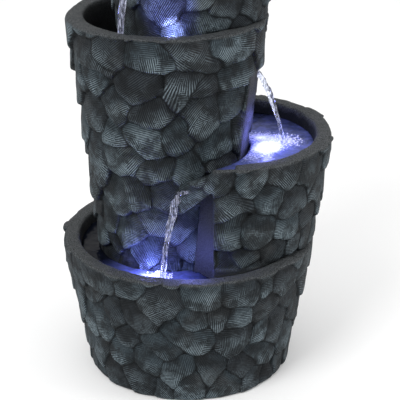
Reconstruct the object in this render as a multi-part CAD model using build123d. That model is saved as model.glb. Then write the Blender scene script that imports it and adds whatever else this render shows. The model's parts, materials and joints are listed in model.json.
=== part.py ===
from build123d import *
import math
import os
from dataclasses import dataclass

# A tiered garden fountain in cast stone-look resin. Four tapered bowls climb in turn to the right and
# the left: the basin on the ground, a second bowl on its right, a third bowl on a column that stands in
# the basin, and a top bowl that stands in the third. A pump in the column's foot lifts the water to the
# top bowl, and each bowl pours into the one below. Millimetres, Z up, front towards -Y, and the origin is
# the middle of the basin's flat underside.


@dataclass(frozen=True)
class Taper:
    """A round casting that widens upwards: its axis, and its outer radius at two heights."""

    x: float
    y: float
    low: float
    low_radius: float
    high: float
    high_radius: float

    def radius(self, z):
        slope = (self.high_radius - self.low_radius) / (self.high - self.low)
        return self.low_radius + slope * (z - self.low)

    def solid(self, bottom, top, inset=0.0):
        """The casting's outer shape from bottom to top, drawn in by inset."""
        cone = Cone(
            self.radius(bottom) - inset,
            self.radius(top) - inset,
            top - bottom,
            align=(Align.CENTER, Align.CENTER, Align.MIN),
        )
        return Pos(self.x, self.y, bottom) * cone


# ---- Castings ----
BASIN = Taper(0, 0, 0, 151, 207, 190)
SECOND = Taper(46, 8, 207, 144, 367, 168)
THIRD = Taper(-29, -4, 264, 112, 548, 144)
TOP = Taper(6, 2, 548, 109, 735, 133)
RIM_WALL = 25.0  # width of the three lower rims
TOP_WALL = 22.0
SHELL, TOP_SHELL = 14.0, 12.0  # walls of the hollow feet and the column
SLAB = 14.0  # thickness of a bowl's floor
BASIN_FLOOR = 20.0
SECOND_FLOOR = 300.0
THIRD_FLOOR = 440.0
TOP_FLOOR = 670.0
JOINT_GAP = 0.4  # between two castings side by side
FOOT_GAP = 1.0  # between a foot and the bowl that it stands in
RIM_ROUND = 5.0
ARCH_WIDTH, ARCH_HEIGHT = 36.0, 26.0  # water ways through the feet
APRON = 11.5  # thickness of the ledge round the second bowl's foot

# The second bowl stops at a corner at the front and at the back, and a flat face at 45 degrees runs from
# each corner to the column.
FRONT_CORNER = (35.5, -132.0)
BACK_CORNER = (30.0, 112.0)
FACE_WALL, FACE_RUN = 16.0, 50.0

# The column's right side is flat under the third bowl's outlet, and leans out with the column.
FLAT_ANGLE = -11.5
FLAT_DEPTH = 6.4
FLAT_TOP = 474.0
OUTLET_ANGLE = 6.0
OUTLET_WIDTH, OUTLET_FLOOR, OUTLET_HEIGHT = 28.0, 449.0, 18.0

# ---- Riser and pump ----
RISER_X, RISER_Y = -12.0, 0.0
HOSE_RADIUS, HOSE_BORE = 8.2, 6.6
BARB_RADIUS, WATERWAY = 6.5, 4.5
PUMP_BASE = 26.0
PUMP_WIDTH, PUMP_HEIGHT = 44.0, 44.0
ROTOR_Z = PUMP_BASE + PUMP_HEIGHT / 2
MOTOR_FRONT, MOTOR_BACK = RISER_Y + 12, RISER_Y + 52
VOLUTE_FRONT = RISER_Y - 12
INTAKE_FRONT = RISER_Y - 36
SHAFT_RADIUS = 1.2
RUNNING = 0.05  # radial clearance of a turning fit

# ---- Service door and cable gland, both at the back of the column ----
PAD_Y = 96.0
DOOR_X, DOOR_Z = THIRD.x, 281.0
PAD_WIDTH, PAD_HEIGHT = 96.0, 98.0
DOOR_WIDTH, DOOR_HEIGHT, DOOR_THICK = 76.0, 80.0, 6.0
DOORWAY_WIDTH, DOORWAY_HEIGHT = 52.0, 60.0
DOOR_GAP = 0.8
SCREW_RADIUS, SCREW_SPACING = 2.5, 64.0
GLAND_Z, GLAND_SEAT, GLAND_BORE = 220.0, 102.0, 3.6
CAP_LIP = 0.7  # the cap's hole is this much wider than the seal's bore
GLAND_NUT = 83.5  # inner end of the locknut, which bears on the column's inner wall
DRAIN_Z, DRAIN_RADIUS, DRAIN_SEAT = 40.0, 8.0, 154.0

# ---- Lights ----
LIGHT_WIDTH, LIGHT_HEIGHT, LIGHT_DEPTH = 34.0, 26.0, 11.0
LENS_THICK, GASKET_THICK, LIGHT_WALL = 3.0, 0.8, 1.8
FAR = 400.0  # longer than any cut needs


def box(x0, x1, y0, y1, z0, z1):
    """A box between two corners."""
    return Pos((x0 + x1) / 2, (y0 + y1) / 2, (z0 + z1) / 2) * Box(x1 - x0, y1 - y0, z1 - z0)


def rod_y(x, z, radius, y0, y1):
    """A cylinder along Y from y0 to y1."""
    return Pos(x, (y0 + y1) / 2, z) * Rot(90, 0, 0) * Cylinder(radius, y1 - y0)


def rod_z(x, y, radius, z0, z1):
    """A cylinder along Z from z0 to z1."""
    return Pos(x, y, (z0 + z1) / 2) * Cylinder(radius, z1 - z0)


def tube_z(x, y, radius, bore, z0, z1):
    return rod_z(x, y, radius, z0, z1) - rod_z(x, y, bore, z0, z1)


def prism(points, bottom, top):
    """A plan outline raised from bottom to top."""
    face = make_face(Polyline(*points, close=True))
    return extrude(Pos(0, 0, bottom) * face, top - bottom, dir=(0, 0, 1))


def side_prism(points, y0, y1):
    """An outline of (x, z) points carried along Y."""
    face = make_face(Polyline(*[(x, y0, z) for x, z in points], close=True))
    return extrude(face, y1 - y0, dir=(0, 1, 0))


def sector(taper, angle0, angle1, bottom, top):
    """A wedge round a casting's axis between two angles in degrees."""
    points = [(taper.x, taper.y)]
    for angle in (angle0, (angle0 + angle1) / 2, angle1):
        a = math.radians(angle)
        points.append((taper.x + FAR * math.cos(a), taper.y + FAR * math.sin(a)))
    return prism(points, bottom, top)


def radial_box(taper, angle, inner, outer, width, bottom, top):
    """A box that points out from a casting's axis, from radius inner to radius outer."""
    bar = box(inner, outer, -width / 2, width / 2, bottom, top)
    return Pos(taper.x, taper.y, 0) * Rot(0, 0, angle) * bar


def beyond_corners(inset, bottom, top):
    """All that lies left of the second bowl's two flat faces, drawn in by inset to leave its walls."""
    points = [(-FAR, -FAR)]
    for x, y in (FRONT_CORNER, BACK_CORNER):
        side = math.copysign(1, y)
        turn_x, turn_y = x + inset, y - side * inset * (math.sqrt(2) - 1)
        outer, inner = (turn_x, side * FAR), (turn_x - FACE_RUN, turn_y - side * FACE_RUN)
        points += [outer, (turn_x, turn_y), inner] if side < 0 else [inner, (turn_x, turn_y), outer]
    return prism(points + [(-FAR, FAR)], bottom, top)


def rim_ring(taper, bottom, floor, wall):
    """A bowl down to bottom, hollow above floor, with a rounded rim."""
    rim = taper.high
    ring = taper.solid(bottom, rim) - taper.solid(floor, rim + 1, wall)
    edges = [e for e in ring.edges().filter_by(GeomType.CIRCLE) if abs(e.center().Z - rim) < 0.1]
    return fillet(edges, RIM_ROUND)


def column_cut():
    """The room that the other castings leave for the column."""
    return THIRD.solid(BASIN_FLOOR - 1, THIRD.high + 2, -JOINT_GAP)


def basin():
    bowl = rim_ring(BASIN, 0, BASIN_FLOOR, RIM_WALL)
    bowl -= rod_y(0, DRAIN_Z, DRAIN_RADIUS, 110, 180)
    return bowl - rod_y(0, DRAIN_Z, 14, DRAIN_SEAT, 180)


def second_spout():
    """The spout that carries the second bowl's water along the column to the front left."""
    tip, root = -12.0, FRONT_CORNER[0] + 4
    outline = [(tip, 289), (root, 338), (root, 364), (tip, 337)]
    block = SECOND.solid(280, SECOND.high) & side_prism(outline, -175, -90)
    return block - column_cut()


def second_channel():
    floor = [(-14, 318), (62, 334), (62, 380), (-14, 380)]
    return SECOND.solid(310, 381, 9) & side_prism(floor, -175, -92)


def foot_room(taper, host, low, step, ceiling, wall):
    """The hollow in a bowl's foot, in its step over the rim it stands in, and up to its own floor."""
    inside = RIM_WALL + FOOT_GAP + wall
    chamber = taper.solid(low - 1, step + wall, wall) & host.solid(low - 1, step + wall, inside)
    return [chamber, taper.solid(step + wall - 0.5, ceiling, wall)]


def foot_block(taper, host, low, step):
    """The part of a bowl that stands inside the bowl below."""
    return taper.solid(low, step + 1) & host.solid(low, step + 1, RIM_WALL + FOOT_GAP)


def second_bowl():
    low, rim = BASIN_FLOOR, SECOND.high
    step = BASIN.high + JOINT_GAP
    beyond, beyond_walls = (beyond_corners(inset, low - 2, rim + 3) for inset in (0, FACE_WALL))
    apron = BASIN.solid(step - APRON, step - 1, RIM_WALL + FOOT_GAP + 0.6)
    apron -= SECOND.solid(step - APRON - 1, step, 5)
    filling = SECOND.solid(SECOND_FLOOR - 1, rim - 6, RIM_WALL - 5) & beyond_walls
    shape = rim_ring(SECOND, step, SECOND_FLOOR, RIM_WALL) - beyond
    for piece in (foot_block(SECOND, BASIN, low, step), apron, filling):
        shape += piece - beyond
    for room in foot_room(SECOND, BASIN, low, step, SECOND_FLOOR - SLAB, SHELL):
        shape -= room - beyond_walls
    shape = shape + second_spout() - second_channel() - column_cut()
    for angle in (-60, 60):
        shape -= radial_box(SECOND, angle, 60, 160, ARCH_WIDTH, low - 1, low + ARCH_HEIGHT)
    return shape


def flat_side(depth, bottom, top):
    """All that lies beyond a leaning flat cut to this depth in the column's right side."""
    low, high = THIRD.radius(bottom) - depth, THIRD.radius(top) - depth
    profile = [(low, bottom), (FAR, bottom), (FAR, top), (high, top)]
    return Pos(THIRD.x, THIRD.y, 0) * Rot(0, 0, FLAT_ANGLE) * side_prism(profile, -FAR, FAR)


def third_bowl():
    low, rim = BASIN_FLOOR, THIRD.high
    bowl = rim_ring(THIRD, low, THIRD_FLOOR, RIM_WALL)
    hollow = THIRD.solid(low - 1, THIRD_FLOOR - SLAB, SHELL)
    hollow -= flat_side(FLAT_DEPTH + SHELL, SECOND_FLOOR - 2, THIRD_FLOOR)
    bowl -= hollow
    bowl -= flat_side(FLAT_DEPTH, SECOND_FLOOR + 0.5, FLAT_TOP)
    arch = OUTLET_FLOOR + OUTLET_HEIGHT
    bowl -= radial_box(THIRD, OUTLET_ANGLE, 95, 160, OUTLET_WIDTH, OUTLET_FLOOR, arch)
    bowl -= rod_z(RISER_X, RISER_Y, 12.1, THIRD_FLOOR - SLAB - 1, THIRD_FLOOR + 1)
    for angle in (100, 180, 315):
        bowl -= radial_box(THIRD, angle, 50, 110, ARCH_WIDTH, low - 1, low + ARCH_HEIGHT)
    return bowl + door_frame() - door_cuts()


def door_frame():
    """Solid backing inside the column's back wall for the flat door pad."""
    half_w, half_h = PAD_WIDTH / 2, PAD_HEIGHT / 2
    pad = box(DOOR_X - half_w, DOOR_X + half_w, PAD_Y - 20, FAR, DOOR_Z - half_h, DOOR_Z + half_h)
    return pad & THIRD.solid(DOOR_Z - half_h - 1, DOOR_Z + half_h + 1, 2)


def door_cuts():
    """The flat pad, the door's recess, the doorway, the screw holes and the gland's seat and hole."""
    half_w, half_h = PAD_WIDTH / 2, PAD_HEIGHT / 2
    cuts = box(DOOR_X - half_w, DOOR_X + half_w, PAD_Y, FAR, DOOR_Z - half_h, DOOR_Z + half_h)
    half_w, half_h = DOOR_WIDTH / 2 + DOOR_GAP, DOOR_HEIGHT / 2 + DOOR_GAP
    seat = PAD_Y - DOOR_THICK
    cuts += box(DOOR_X - half_w, DOOR_X + half_w, seat, FAR, DOOR_Z - half_h, DOOR_Z + half_h)
    half_w, half_h = DOORWAY_WIDTH / 2, DOORWAY_HEIGHT / 2
    cuts += box(DOOR_X - half_w, DOOR_X + half_w, 60, FAR, DOOR_Z - half_h, DOOR_Z + half_h)
    for side in (-1, 1):
        cuts += rod_y(DOOR_X + side * SCREW_SPACING / 2, DOOR_Z, 4, seat - 12, seat + 1)
    cuts += rod_y(THIRD.x, GLAND_Z, 13, GLAND_SEAT, 140)
    return cuts + rod_y(THIRD.x, GLAND_Z, 6.2, 70, 140)


def top_spout():
    """The spout that hugs the top bowl's front left side."""
    tip, root = -56.0, 14.0
    outline = [(tip, 646), (root, 682), (root, 722), (tip, 700)]
    block = TOP.solid(630, 730, -20) - TOP.solid(629, 731, 8)
    block &= sector(TOP, 247, 270, 629, 731)
    return block & side_prism(outline, -180, -60)


def top_channel():
    tip, root = -62.0, 16.0
    floor = [(tip, 684), (root, 693), (root, 740), (tip, 740)]
    groove = (TOP.solid(680, 741, -11) - TOP.solid(679, 742, -1)) & sector(TOP, 245, 264, 679, 742)
    window = radial_box(TOP, 260.5, TOP.radius(690) - 40, TOP.radius(690) + 8, 16, 690, 712)
    return (groove & side_prism(floor, -180, -60)) + window


def top_bowl():
    low, step, wall = THIRD_FLOOR, THIRD.high + JOINT_GAP, TOP_SHELL
    shape = rim_ring(TOP, step, TOP_FLOOR, TOP_WALL) + foot_block(TOP, THIRD, low, step)
    for room in foot_room(TOP, THIRD, low, step, TOP_FLOOR - SLAB, wall):
        shape -= room
    shape = shape + top_spout() - top_channel()
    for angle in (OUTLET_ANGLE, 120, 200, 300):
        shape -= radial_box(TOP, angle, 40, 130, ARCH_WIDTH, low - 1, low + ARCH_HEIGHT + 6)
    return shape - rod_z(RISER_X, RISER_Y, 9, TOP_FLOOR - SLAB - 1, TOP_FLOOR + 1)


def access_door():
    seat = PAD_Y - DOOR_THICK
    half_w, half_h = DOOR_WIDTH / 2, DOOR_HEIGHT / 2
    door = box(DOOR_X - half_w, DOOR_X + half_w, seat, PAD_Y, DOOR_Z - half_h, DOOR_Z + half_h)
    door = fillet(door.edges().filter_by(Axis.Y), 5)
    door += rod_y(DOOR_X, DOOR_Z, 11, PAD_Y - 1, PAD_Y + 9)
    door = fillet(door.edges().filter_by(GeomType.CIRCLE).group_by(Axis.Y)[-1], 3)
    for side in (-1, 1):
        door -= rod_y(DOOR_X + side * SCREW_SPACING / 2, DOOR_Z, SCREW_RADIUS + 0.3, seat - 1, FAR)
    return door


def door_screws():
    """Two knurled thumb screws that hold the door."""
    seat = PAD_Y - DOOR_THICK
    screws = []
    for side in (-1, 1):
        x = DOOR_X + side * SCREW_SPACING / 2
        head = rod_y(x, DOOR_Z, 5.5, PAD_Y, PAD_Y + 5)
        for n in range(12):
            a = math.radians(30 * n)
            head -= rod_y(x + 5.9 * math.cos(a), DOOR_Z + 5.9 * math.sin(a), 0.9, PAD_Y, PAD_Y + 5)
        screws.append(head + rod_y(x, DOOR_Z, SCREW_RADIUS, seat - 9, PAD_Y + 1))
    return Compound(children=screws)


def door_inserts():
    """Brass inserts in the column for the thumb screws."""
    seat = PAD_Y - DOOR_THICK
    inserts = []
    for side in (-1, 1):
        x = DOOR_X + side * SCREW_SPACING / 2
        insert = rod_y(x, DOOR_Z, 4, seat - 12, seat - 0.2)
        inserts.append(insert - rod_y(x, DOOR_Z, SCREW_RADIUS + RUNNING, seat - 10, seat))
    return Compound(children=inserts)


def drain_plug():
    head = rod_y(0, DRAIN_Z, 12, DRAIN_SEAT, DRAIN_SEAT + 4)
    head = fillet(head.edges().filter_by(GeomType.CIRCLE).group_by(Axis.Y)[-1], 1.5)
    tab = box(-2, 2, DRAIN_SEAT + 3, DRAIN_SEAT + 10, DRAIN_Z - 7, DRAIN_Z + 7)
    tab = fillet(tab.edges().filter_by(Axis.X), 1.8)
    return head + tab + rod_y(0, DRAIN_Z, DRAIN_RADIUS - 0.2, DRAIN_SEAT - 24, DRAIN_SEAT)


def gland_body():
    x, z = THIRD.x, GLAND_Z
    hexagon = extrude(Plane((x, GLAND_SEAT, z), z_dir=(0, 1, 0)) * RegularPolygon(9, 6), 5)
    body = hexagon + rod_y(x, z, 6, GLAND_SEAT - 22, GLAND_SEAT) + rod_y(x, z, 6, GLAND_SEAT + 5, GLAND_SEAT + 13)
    return body - rod_y(x, z, 4.6, GLAND_SEAT - 23, GLAND_SEAT + 14)


def gland_seal():
    x, z = THIRD.x, GLAND_Z
    return rod_y(x, z, 4.55, GLAND_SEAT + 3, GLAND_SEAT + 13) - rod_y(x, z, GLAND_BORE, GLAND_SEAT + 2, GLAND_SEAT + 14)


def gland_cap():
    x, z, start = THIRD.x, GLAND_Z, GLAND_SEAT + 6
    cap = rod_y(x, z, 8.5, start, start + 11)
    cap = fillet(cap.edges().filter_by(GeomType.CIRCLE).group_by(Axis.Y)[-1], 3)
    return cap - rod_y(x, z, 6.05, start - 1, start + 7.2) - rod_y(x, z, GLAND_BORE + CAP_LIP, start, start + 12)


def gland_locknut():
    x, z = THIRD.x, GLAND_Z
    plane = Plane((x, GLAND_NUT, z), z_dir=(0, 1, 0))
    return extrude(plane * RegularPolygon(9, 6), 4.5) - rod_y(x, z, 6.05, GLAND_SEAT - 22, GLAND_SEAT)


def pump_housing():
    """The potted motor block, with the rotor's well open to the front."""
    x, half = RISER_X, PUMP_WIDTH / 2
    block = box(x - half, x + half, MOTOR_FRONT, MOTOR_BACK, PUMP_BASE, PUMP_BASE + PUMP_HEIGHT)
    block = fillet(block.edges().filter_by(Axis.Y), 6)
    block = fillet(block.edges().group_by(Axis.Y)[-1], 3)
    for n in range(5):
        y = MOTOR_FRONT + 8 + 6 * n
        for side in (-1, 1):
            block -= box(x + side * half - 1, x + side * half + 1, y, y + 2.5, PUMP_BASE + 10, PUMP_BASE + 36)
    block -= rod_y(x, ROTOR_Z, 9.3, MOTOR_FRONT - 1, MOTOR_FRONT + 30)
    return block - rod_y(x, ROTOR_Z, 3.5, MOTOR_FRONT + 29, MOTOR_FRONT + 34)


def pump_rotor():
    """The magnet and the impeller's six vanes, one moulding that turns on the shaft."""
    x, z = RISER_X, ROTOR_Z
    front = VOLUTE_FRONT + 7
    rotor = rod_y(x, z, 8.8, MOTOR_FRONT + 1, MOTOR_FRONT + 28) + rod_y(x, z, 12, MOTOR_FRONT - 3, MOTOR_FRONT - 1)
    rotor += rod_y(x, z, 4, front, MOTOR_FRONT + 2)
    for n in range(6):
        vane = box(3, 12, -1, 1, 0, MOTOR_FRONT - 2 - front)
        rotor += Pos(x, front, z) * Rot(-90, 0, 0) * Rot(0, 0, 60 * n) * vane
    return rotor - rod_y(x, z, SHAFT_RADIUS + RUNNING, front - 1, MOTOR_FRONT + 29)


def rotor_shaft():
    return rod_y(RISER_X, ROTOR_Z, SHAFT_RADIUS, VOLUTE_FRONT + 3, MOTOR_FRONT + 33)


def rotor_bushings():
    x, z = RISER_X, ROTOR_Z
    back = rod_y(x, z, 3.5, MOTOR_FRONT + 30.2, MOTOR_FRONT + 34) - rod_y(x, z, SHAFT_RADIUS, 0, MOTOR_FRONT + 33)
    front = rod_y(x, z, 3, VOLUTE_FRONT + 2, VOLUTE_FRONT + 6)
    front -= rod_y(x, z, SHAFT_RADIUS, VOLUTE_FRONT + 3, MOTOR_FRONT)
    return Compound(children=[back, front])


def impeller_cover():
    """The volute over the impeller, with its front bearing spider and the outlet boss on top."""
    x, z = RISER_X, ROTOR_Z
    cover = rod_y(x, z, 19, VOLUTE_FRONT, MOTOR_FRONT - 0.2) - rod_y(x, z, 13.5, VOLUTE_FRONT + 6.5, MOTOR_FRONT)
    cover -= rod_y(x, z, 8, VOLUTE_FRONT - 1, VOLUTE_FRONT + 7)
    cover += rod_y(x, z, 4.5, VOLUTE_FRONT, VOLUTE_FRONT + 6)
    for n in range(3):
        arm = box(4, 9, -1, 1, 0, 4)
        cover += Pos(x, VOLUTE_FRONT, z) * Rot(-90, 0, 0) * Rot(0, 0, 120 * n + 30) * arm
    cover -= rod_y(x, z, 3, VOLUTE_FRONT + 2, VOLUTE_FRONT + 7)
    top = PUMP_BASE + PUMP_HEIGHT
    cover += rod_z(x, RISER_Y, 9, z + 15, top + 4)
    return cover - rod_z(x, RISER_Y, WATERWAY, z + 5, top + 5) - rod_z(x, RISER_Y, 7, top - 6, top + 5)


def outlet_barb():
    """The hose barb that plugs into the pump's outlet."""
    x, y, top = RISER_X, RISER_Y, PUMP_BASE + PUMP_HEIGHT
    barb = rod_z(x, y, 6.95, top - 5.8, top + 4) + rod_z(x, y, 9.5, top + 4.2, top + 7)
    barb += rod_z(x, y, 6.95, top + 3.9, top + 5) + rod_z(x, y, BARB_RADIUS - 0.5, top + 6, top + 28)
    for n in range(3):
        ridge = Cone(BARB_RADIUS, BARB_RADIUS - 0.8, 4, align=(Align.CENTER, Align.CENTER, Align.MIN))
        barb += Pos(x, y, top + 12 + 5 * n) * ridge
    return barb - rod_z(x, y, WATERWAY, top - 7, top + 30)


def intake_cover():
    """The slotted strainer that clips over the front of the pump."""
    x, z, wall = RISER_X, ROTOR_Z, 2.0
    half, back = PUMP_WIDTH / 2, VOLUTE_FRONT - 0.3
    cover = box(x - half, x + half, INTAKE_FRONT, back, PUMP_BASE, PUMP_BASE + PUMP_HEIGHT)
    cover = fillet(cover.edges().filter_by(Axis.Y), 6)
    inner = box(x - half + wall, x + half - wall, INTAKE_FRONT + wall, back + 1, PUMP_BASE + wall,
                PUMP_BASE + PUMP_HEIGHT - wall)
    cover -= inner
    for n in range(5):
        y = INTAKE_FRONT + 4 + 3.6 * n
        cover -= box(x - half - 1, x + half + 1, y, y + 1.8, PUMP_BASE + 9, PUMP_BASE + 35)
    for n in range(7):
        slot_x = x - 15 + 5 * n - 1
        cover -= box(slot_x, slot_x + 2, INTAKE_FRONT - 1, INTAKE_FRONT + 3, PUMP_BASE + 6, PUMP_BASE + 10)
        cover -= box(slot_x, slot_x + 2, INTAKE_FRONT - 1, INTAKE_FRONT + 3, PUMP_BASE + 34, PUMP_BASE + 38)
    cover += rod_y(x, z, 4, INTAKE_FRONT - 5, INTAKE_FRONT + 2)
    for angle in (45, 135, 225, 315):
        a = math.radians(angle)
        cover -= rod_y(x + 7.5 * math.cos(a), z + 7.5 * math.sin(a), 1.8, INTAKE_FRONT - 1, INTAKE_FRONT + 3)
    return cover


def flow_dial():
    """The ring on the strainer's front that opens and closes its round ports."""
    x, z = RISER_X, ROTOR_Z
    back = INTAKE_FRONT - 0.3
    dial = rod_y(x, z, 11, back - 3, back) - rod_y(x, z, 4 + RUNNING, back - 4, back + 1)
    for angle in (45, 135, 225, 315):
        a = math.radians(angle)
        dial -= rod_y(x + 7.5 * math.cos(a), z + 7.5 * math.sin(a), 1.8, back - 4, back + 1)
    return dial + box(x - 1.5, x + 1.5, back - 7, back - 2, z + 5, z + 10.5)


def suction_cups():
    cups = []
    for side in (-1, 1):
        for y in (INTAKE_FRONT + 40, MOTOR_BACK - 10):
            x = RISER_X + side * (PUMP_WIDTH / 2 - 9)
            cup = Cone(8, 4, PUMP_BASE - BASIN_FLOOR - 0.2, align=(Align.CENTER, Align.CENTER, Align.MIN))
            cups.append(Pos(x, y, BASIN_FLOOR) * cup)
    return Compound(children=cups)


HOSE_BOTTOM = PUMP_BASE + PUMP_HEIGHT + 7.3
THREAD_BOTTOM = TOP_FLOOR - SLAB - 12
FITTING_BOTTOM = THREAD_BOTTOM - 24
HOSE_TOP = THREAD_BOTTOM - 0.5


def riser_hose():
    return tube_z(RISER_X, RISER_Y, HOSE_RADIUS, HOSE_BORE, HOSE_BOTTOM, HOSE_TOP)


def hose_clamps():
    """Two spring clamps, each a split ring with a pair of finger tabs."""
    clamps = []
    for z in (HOSE_BOTTOM + 10, HOSE_TOP - 18):
        ring = tube_z(RISER_X, RISER_Y, 9.7, HOSE_RADIUS + 0.05, z, z + 8)
        ring -= box(RISER_X + 6, RISER_X + 12, RISER_Y - 1.5, RISER_Y + 1.5, z - 1, z + 9)
        for side in (-1, 1):
            y = RISER_Y + side * 2.3
            ring += box(RISER_X + 8.6, RISER_X + 15, y - 0.8, y + 0.8, z, z + 8)
        clamps.append(ring)
    return Compound(children=clamps)


def riser_grommet():
    """Seals the hose where it passes through the third bowl's floor."""
    sleeve = rod_z(RISER_X, RISER_Y, 12, THIRD_FLOOR - SLAB, THIRD_FLOOR)
    lip = rod_z(RISER_X, RISER_Y, 16, THIRD_FLOOR, THIRD_FLOOR + 3)
    return sleeve + lip - rod_z(RISER_X, RISER_Y, HOSE_RADIUS + 0.05, THIRD_FLOOR - SLAB - 1, THIRD_FLOOR + 4)


def nozzle_fitting():
    """The bulkhead fitting that brings the water up through the top bowl's floor."""
    x, y = RISER_X, RISER_Y
    fitting = rod_z(x, y, BARB_RADIUS, FITTING_BOTTOM, THREAD_BOTTOM + 1)
    fitting += rod_z(x, y, 8.4, THREAD_BOTTOM, TOP_FLOOR + 3) + rod_z(x, y, 16, TOP_FLOOR + 2, TOP_FLOOR + 5)
    fitting += rod_z(x, y, 9, TOP_FLOOR + 4, TOP_FLOOR + 20)
    return fitting - rod_z(x, y, WATERWAY, FITTING_BOTTOM - 1, TOP_FLOOR + 21)


def nozzle_gasket():
    return tube_z(RISER_X, RISER_Y, 15, 8.5, TOP_FLOOR, TOP_FLOOR + 2)


def nozzle_nut():
    x, y, top = RISER_X, RISER_Y, TOP_FLOOR - SLAB
    nut = extrude(Pos(x, y, top - 8) * RegularPolygon(14, 6), 8, dir=(0, 0, 1))
    return nut - rod_z(x, y, 8.45, top - 9, top + 1)


def light_pieces():
    """One sealed light lying face up, centred on its own origin: housing, board, gasket and lens."""
    wall, w, h = LIGHT_WALL, LIGHT_WIDTH, LIGHT_HEIGHT
    body = LIGHT_DEPTH - LENS_THICK - GASKET_THICK

    def plate(inset, bottom, top, corner):
        slab = box(inset - w / 2, w / 2 - inset, inset - h / 2, h / 2 - inset, bottom, top)
        return fillet(slab.edges().filter_by(Axis.Z), corner)

    housing = plate(0, 0, body, 5) - plate(wall, wall, body + 1, 3)
    housing += rod_y(0, body / 2, 2.5, -h / 2 - 2, -h / 2 + 1)
    board = plate(wall + 0.5, wall, wall + 1.6, 2)
    for column in (-1, 0, 1):
        for row in (-1, 1):
            x, y = 9 * column, 5 * row
            board += box(x - 2.5, x + 2.5, y - 2.5, y + 2.5, wall + 1.5, wall + 3)
    gasket = plate(0.3, body, body + GASKET_THICK, 4.7) - plate(wall, body - 1, body + 2, 3)
    lens = plate(0, body + GASKET_THICK, LIGHT_DEPTH, 5) + plate(wall + 0.4, body - 1.5, LIGHT_DEPTH - 1, 2.6)
    lens = fillet(lens.edges().group_by(Axis.Z)[-1], 1)
    return {"housing": housing, "board": board, "gasket": gasket, "lens": lens}


FACING_BACK = Rot(-90, 0, 0)  # turns a light from face up to face the back
LIGHT_PLACES = {
    "basin_light": Pos(-42, -144, 165) * FACING_BACK,
    "second_light": Pos(118, 8, SECOND_FLOOR + 0.3) * Rot(0, 0, 90),
    "third_light": Pos(-30, -108, THIRD_FLOOR + 3.3 + LIGHT_HEIGHT / 2) * FACING_BACK,
}


def basin_light_bracket():
    """The tab that carries the basin's light on the basin's inner wall."""
    tab = box(-54, -30, -175, -144.2, 156, 174)
    return tab & BASIN.solid(150, 180, RIM_WALL + 0.2)


def third_light_stand():
    """The rubber block that the third bowl's light stands on."""
    return box(-44, -16, -107, -99, THIRD_FLOOR, THIRD_FLOOR + 3)


PARTS = {
    "basin": basin,
    "second_bowl": second_bowl,
    "third_bowl": third_bowl,
    "top_bowl": top_bowl,
    "access_door": access_door,
    "door_screws": door_screws,
    "door_inserts": door_inserts,
    "drain_plug": drain_plug,
    "cable_gland_body": gland_body,
    "cable_gland_seal": gland_seal,
    "cable_gland_cap": gland_cap,
    "cable_gland_locknut": gland_locknut,
    "pump_housing": pump_housing,
    "pump_rotor": pump_rotor,
    "rotor_shaft": rotor_shaft,
    "rotor_bushings": rotor_bushings,
    "impeller_cover": impeller_cover,
    "outlet_barb": outlet_barb,
    "intake_cover": intake_cover,
    "flow_dial": flow_dial,
    "suction_cups": suction_cups,
    "riser_hose": riser_hose,
    "hose_clamps": hose_clamps,
    "riser_grommet": riser_grommet,
    "nozzle_fitting": nozzle_fitting,
    "nozzle_gasket": nozzle_gasket,
    "nozzle_nut": nozzle_nut,
    "basin_light_bracket": basin_light_bracket,
    "third_light_stand": third_light_stand,
}

os.makedirs("parts", exist_ok=True)
for name, make in PARTS.items():
    export_step(make(), f"parts/{name}.step")
for light, place in LIGHT_PLACES.items():
    for piece, shape in light_pieces().items():
        export_step(place * shape, f"parts/{light}_{piece}.step")
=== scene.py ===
"""The looks of the tiered water fountain: stone-look castings, water, lights and fittings.

Lengths inside the modelling functions are millimetres in the row frame: X right, Y away from the front, Z up.
"""

import math
from dataclasses import dataclass

import bmesh
import bpy
import numpy as np
import openvdb
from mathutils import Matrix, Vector
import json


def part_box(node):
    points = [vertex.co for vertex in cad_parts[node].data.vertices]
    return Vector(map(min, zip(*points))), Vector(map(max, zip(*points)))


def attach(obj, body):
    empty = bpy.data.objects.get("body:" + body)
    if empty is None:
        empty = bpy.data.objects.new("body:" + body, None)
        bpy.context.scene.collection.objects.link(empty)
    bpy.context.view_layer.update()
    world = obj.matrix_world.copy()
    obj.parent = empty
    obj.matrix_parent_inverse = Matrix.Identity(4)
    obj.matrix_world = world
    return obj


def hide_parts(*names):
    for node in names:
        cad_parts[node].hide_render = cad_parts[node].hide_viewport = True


MM = 0.001
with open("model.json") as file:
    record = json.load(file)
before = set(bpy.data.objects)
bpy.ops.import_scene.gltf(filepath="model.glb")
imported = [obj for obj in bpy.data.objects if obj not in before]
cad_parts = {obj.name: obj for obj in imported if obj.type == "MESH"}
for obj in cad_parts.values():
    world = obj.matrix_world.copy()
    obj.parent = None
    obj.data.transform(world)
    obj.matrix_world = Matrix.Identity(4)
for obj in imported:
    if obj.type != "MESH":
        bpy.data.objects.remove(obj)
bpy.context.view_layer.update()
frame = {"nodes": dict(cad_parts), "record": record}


def node_top(node):
    """The height of a CAD node's highest point, in millimetres."""
    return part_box(node)[1].z / MM


# ---- Driving dimensions, the same castings as in the CAD ----
@dataclass(frozen=True)
class Casting:
    """A round casting that widens upwards: its axis, and its outer radius at two heights."""

    x: float
    y: float
    low: float
    low_radius: float
    high: float
    high_radius: float

    @property
    def slope(self):
        return (self.high_radius - self.low_radius) / (self.high - self.low)

    def radius(self, z):
        return self.low_radius + self.slope * (z - self.low)

    def angle(self, p):
        return np.arctan2(p[1] - self.y, p[0] - self.x)

    def side(self, p, inset=0.0):
        """Distance to the casting's sloping side, drawn in by inset; negative inside."""
        out = np.hypot(p[0] - self.x, p[1] - self.y) - (self.radius(p[2]) - inset)
        return out / math.hypot(1, self.slope)


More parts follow.
